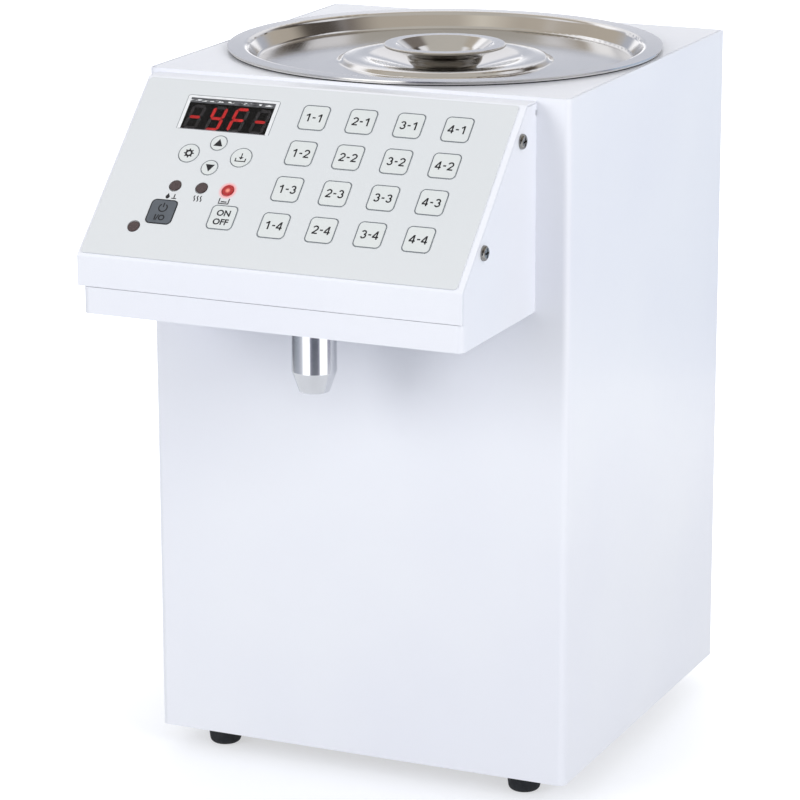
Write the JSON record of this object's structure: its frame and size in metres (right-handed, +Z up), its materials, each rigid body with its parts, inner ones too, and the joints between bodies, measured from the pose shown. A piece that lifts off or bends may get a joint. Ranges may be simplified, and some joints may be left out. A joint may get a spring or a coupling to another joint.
{
  "type": "fructose dispenser",
  "caption": "Countertop syrup dispenser: square white steel cabinet, round recessed lid with a cup knob, sloped key panel on a head that overhangs a short nozzle.",
  "frame": {"origin": "on the counter, under the middle of the machine's bounding box", "axes": "+Z up, +X to the right as seen from the front, +Y to the back"},
  "size_m": [0.26, 0.3594, 0.4158],
  "materials": {
    "white_enamel": "satin white powder coat",
    "panel_grey": "fine-grained film",
    "key_face": "fine-grained film",
    "power_key_grey": "fine-grained film",
    "smoked_lens": "smoked, glossy",
    "digit_block": "glossy",
    "lamp_lens": "tinted, glossy",
    "polished_steel": "polished stainless steel",
    "satin_steel": "brushed stainless steel",
    "screw_steel": "bright zinc plate",
    "black_rubber": "matt",
    "clear_hose": "translucent silicone",
    "seal_black": "matt",
    "heater_orange": "silicone heating mat",
    "board_green": "solder mask",
    "pump_brass": "machined",
    "gear_steel": "ground",
    "bracket_steel": "zinc plate",
    "motor_grey": "satin",
    "supply_case": "mill finish",
    "inlet_black": "moulded",
    "sensor_black": "phenolic"
  },
  "bodies": {
    "cabinet": {"back_panel": "white_enamel", "back_screws": "screw_steel", "base_plate": "white_enamel", "control_board": "board_green", "delivery_hose": "clear_hose", "display_module": "digit_block", "display_window": "smoked_lens", "drive_screws": "screw_steel", "foot_screws": "screw_steel", "head_cover": "white_enamel", "head_housing": "white_enamel", "head_screws": "screw_steel", "heater_band": "heater_orange", "hose_clamps": "screw_steel", "indicator_lamps": "lamp_lens", "mains_inlet": "inlet_black", "motor": "motor_grey", "nozzle": "polished_steel", "nozzle_nut": "screw_steel", "panel_film": "panel_grey", "power_supply": "supply_case", "pump_body": "pump_brass", "pump_bracket": "bracket_steel", "pump_cover": "pump_brass", "rubber_feet": "black_rubber", "suction_hose": "clear_hose", "tank": "satin_steel", "tank_gasket": "seal_black", "temperature_sensor": "sensor_black", "top_plate": "white_enamel", "wrap_shell": "white_enamel"},
    "lid_body": {"lid": "polished_steel", "lid_knob": "polished_steel", "knob_screw": "screw_steel"},
    "pump_drive": {"drive_gear": "gear_steel", "shaft_coupling": "bracket_steel", "motor_shaft": "gear_steel"},
    "pump_idler": {"idler_gear": "gear_steel"},
    "dose_key_1_1": {"dose_key_1_1": "key_face"},
    "dose_key_1_2": {"dose_key_1_2": "key_face"},
    "dose_key_1_3": {"dose_key_1_3": "key_face"},
    "dose_key_1_4": {"dose_key_1_4": "key_face"},
    "dose_key_2_1": {"dose_key_2_1": "key_face"},
    "dose_key_2_2": {"dose_key_2_2": "key_face"},
    "dose_key_2_3": {"dose_key_2_3": "key_face"},
    "dose_key_2_4": {"dose_key_2_4": "key_face"},
    "dose_key_3_1": {"dose_key_3_1": "key_face"},
    "dose_key_3_2": {"dose_key_3_2": "key_face"},
    "dose_key_3_3": {"dose_key_3_3": "key_face"},
    "dose_key_3_4": {"dose_key_3_4": "key_face"},
    "dose_key_4_1": {"dose_key_4_1": "key_face"},
    "dose_key_4_2": {"dose_key_4_2": "key_face"},
    "dose_key_4_3": {"dose_key_4_3": "key_face"},
    "dose_key_4_4": {"dose_key_4_4": "key_face"},
    "down_key": {"down_key": "key_face"},
    "manual_key": {"manual_key": "key_face"},
    "power_key": {"power_key": "power_key_grey"},
    "save_key": {"save_key": "key_face"},
    "set_key": {"set_key": "key_face"},
    "up_key": {"up_key": "key_face"}
  },
  "joints": [
    {"name": "lid_lift", "type": "slide", "parent": "cabinet", "child": "lid_body", "axis": [0, 0, 1], "range_m": [0, 0.08]},
    {"name": "pump_drive_spin", "type": "hinge", "parent": "cabinet", "child": "pump_drive", "pos_m": [-0.0105, 0.05025, 0.098], "axis": [0, 1, 0], "continuous": true},
    {"name": "pump_idler_spin", "type": "hinge", "parent": "cabinet", "child": "pump_idler", "pos_m": [0.0105, 0.05025, 0.098], "axis": [0, 1, 0], "continuous": true},
    {"name": "dose_key_1_1_press", "type": "slide", "parent": "cabinet", "child": "dose_key_1_1", "axis": [0, 0.6949, -0.7191], "range_m": [0, 0.00035], "stiffness_N_per_m": 600, "springref_m": -0.0005},
    {"name": "dose_key_1_2_press", "type": "slide", "parent": "cabinet", "child": "dose_key_1_2", "axis": [0, 0.6949, -0.7191], "range_m": [0, 0.00035], "stiffness_N_per_m": 600, "springref_m": -0.0005},
    {"name": "dose_key_1_3_press", "type": "slide", "parent": "cabinet", "child": "dose_key_1_3", "axis": [0, 0.6949, -0.7191], "range_m": [0, 0.00035], "stiffness_N_per_m": 600, "springref_m": -0.0005},
    {"name": "dose_key_1_4_press", "type": "slide", "parent": "cabinet", "child": "dose_key_1_4", "axis": [0, 0.6949, -0.7191], "range_m": [0, 0.00035], "stiffness_N_per_m": 600, "springref_m": -0.0005},
    {"name": "dose_key_2_1_press", "type": "slide", "parent": "cabinet", "child": "dose_key_2_1", "axis": [0, 0.6949, -0.7191], "range_m": [0, 0.00035], "stiffness_N_per_m": 600, "springref_m": -0.0005},
    {"name": "dose_key_2_2_press", "type": "slide", "parent": "cabinet", "child": "dose_key_2_2", "axis": [0, 0.6949, -0.7191], "range_m": [0, 0.00035], "stiffness_N_per_m": 600, "springref_m": -0.0005},
    {"name": "dose_key_2_3_press", "type": "slide", "parent": "cabinet", "child": "dose_key_2_3", "axis": [0, 0.6949, -0.7191], "range_m": [0, 0.00035], "stiffness_N_per_m": 600, "springref_m": -0.0005},
    {"name": "dose_key_2_4_press", "type": "slide", "parent": "cabinet", "child": "dose_key_2_4", "axis": [0, 0.6949, -0.7191], "range_m": [0, 0.00035], "stiffness_N_per_m": 600, "springref_m": -0.0005},
    {"name": "dose_key_3_1_press", "type": "slide", "parent": "cabinet", "child": "dose_key_3_1", "axis": [0, 0.6949, -0.7191], "range_m": [0, 0.00035], "stiffness_N_per_m": 600, "springref_m": -0.0005},
    {"name": "dose_key_3_2_press", "type": "slide", "parent": "cabinet", "child": "dose_key_3_2", "axis": [0, 0.6949, -0.7191], "range_m": [0, 0.00035], "stiffness_N_per_m": 600, "springref_m": -0.0005},
    {"name": "dose_key_3_3_press", "type": "slide", "parent": "cabinet", "child": "dose_key_3_3", "axis": [0, 0.6949, -0.7191], "range_m": [0, 0.00035], "stiffness_N_per_m": 600, "springref_m": -0.0005},
    {"name": "dose_key_3_4_press", "type": "slide", "parent": "cabinet", "child": "dose_key_3_4", "axis": [0, 0.6949, -0.7191], "range_m": [0, 0.00035], "stiffness_N_per_m": 600, "springref_m": -0.0005},
    {"name": "dose_key_4_1_press", "type": "slide", "parent": "cabinet", "child": "dose_key_4_1", "axis": [0, 0.6949, -0.7191], "range_m": [0, 0.00035], "stiffness_N_per_m": 600, "springref_m": -0.0005},
    {"name": "dose_key_4_2_press", "type": "slide", "parent": "cabinet", "child": "dose_key_4_2", "axis": [0, 0.6949, -0.7191], "range_m": [0, 0.00035], "stiffness_N_per_m": 600, "springref_m": -0.0005},
    {"name": "dose_key_4_3_press", "type": "slide", "parent": "cabinet", "child": "dose_key_4_3", "axis": [0, 0.6949, -0.7191], "range_m": [0, 0.00035], "stiffness_N_per_m": 600, "springref_m": -0.0005},
    {"name": "dose_key_4_4_press", "type": "slide", "parent": "cabinet", "child": "dose_key_4_4", "axis": [0, 0.6949, -0.7191], "range_m": [0, 0.00035], "stiffness_N_per_m": 600, "springref_m": -0.0005},
    {"name": "down_key_press", "type": "slide", "parent": "cabinet", "child": "down_key", "axis": [0, 0.6949, -0.7191], "range_m": [0, 0.00035], "stiffness_N_per_m": 600, "springref_m": -0.0005},
    {"name": "manual_key_press", "type": "slide", "parent": "cabinet", "child": "manual_key", "axis": [0, 0.6949, -0.7191], "range_m": [0, 0.00035], "stiffness_N_per_m": 600, "springref_m": -0.0005},
    {"name": "power_key_press", "type": "slide", "parent": "cabinet", "child": "power_key", "axis": [0, 0.6949, -0.7191], "range_m": [0, 0.00035], "stiffness_N_per_m": 600, "springref_m": -0.0005},
    {"name": "save_key_press", "type": "slide", "parent": "cabinet", "child": "save_key", "axis": [0, 0.6949, -0.7191], "range_m": [0, 0.00035], "stiffness_N_per_m": 600, "springref_m": -0.0005},
    {"name": "set_key_press", "type": "slide", "parent": "cabinet", "child": "set_key", "axis": [0, 0.6949, -0.7191], "range_m": [0, 0.00035], "stiffness_N_per_m": 600, "springref_m": -0.0005},
    {"name": "up_key_press", "type": "slide", "parent": "cabinet", "child": "up_key", "axis": [0, 0.6949, -0.7191], "range_m": [0, 0.00035], "stiffness_N_per_m": 600, "springref_m": -0.0005}
  ],
  "couplings": [
    {"joint": "pump_idler_spin", "follows": "pump_drive_spin", "ratio": -1}
  ]
}
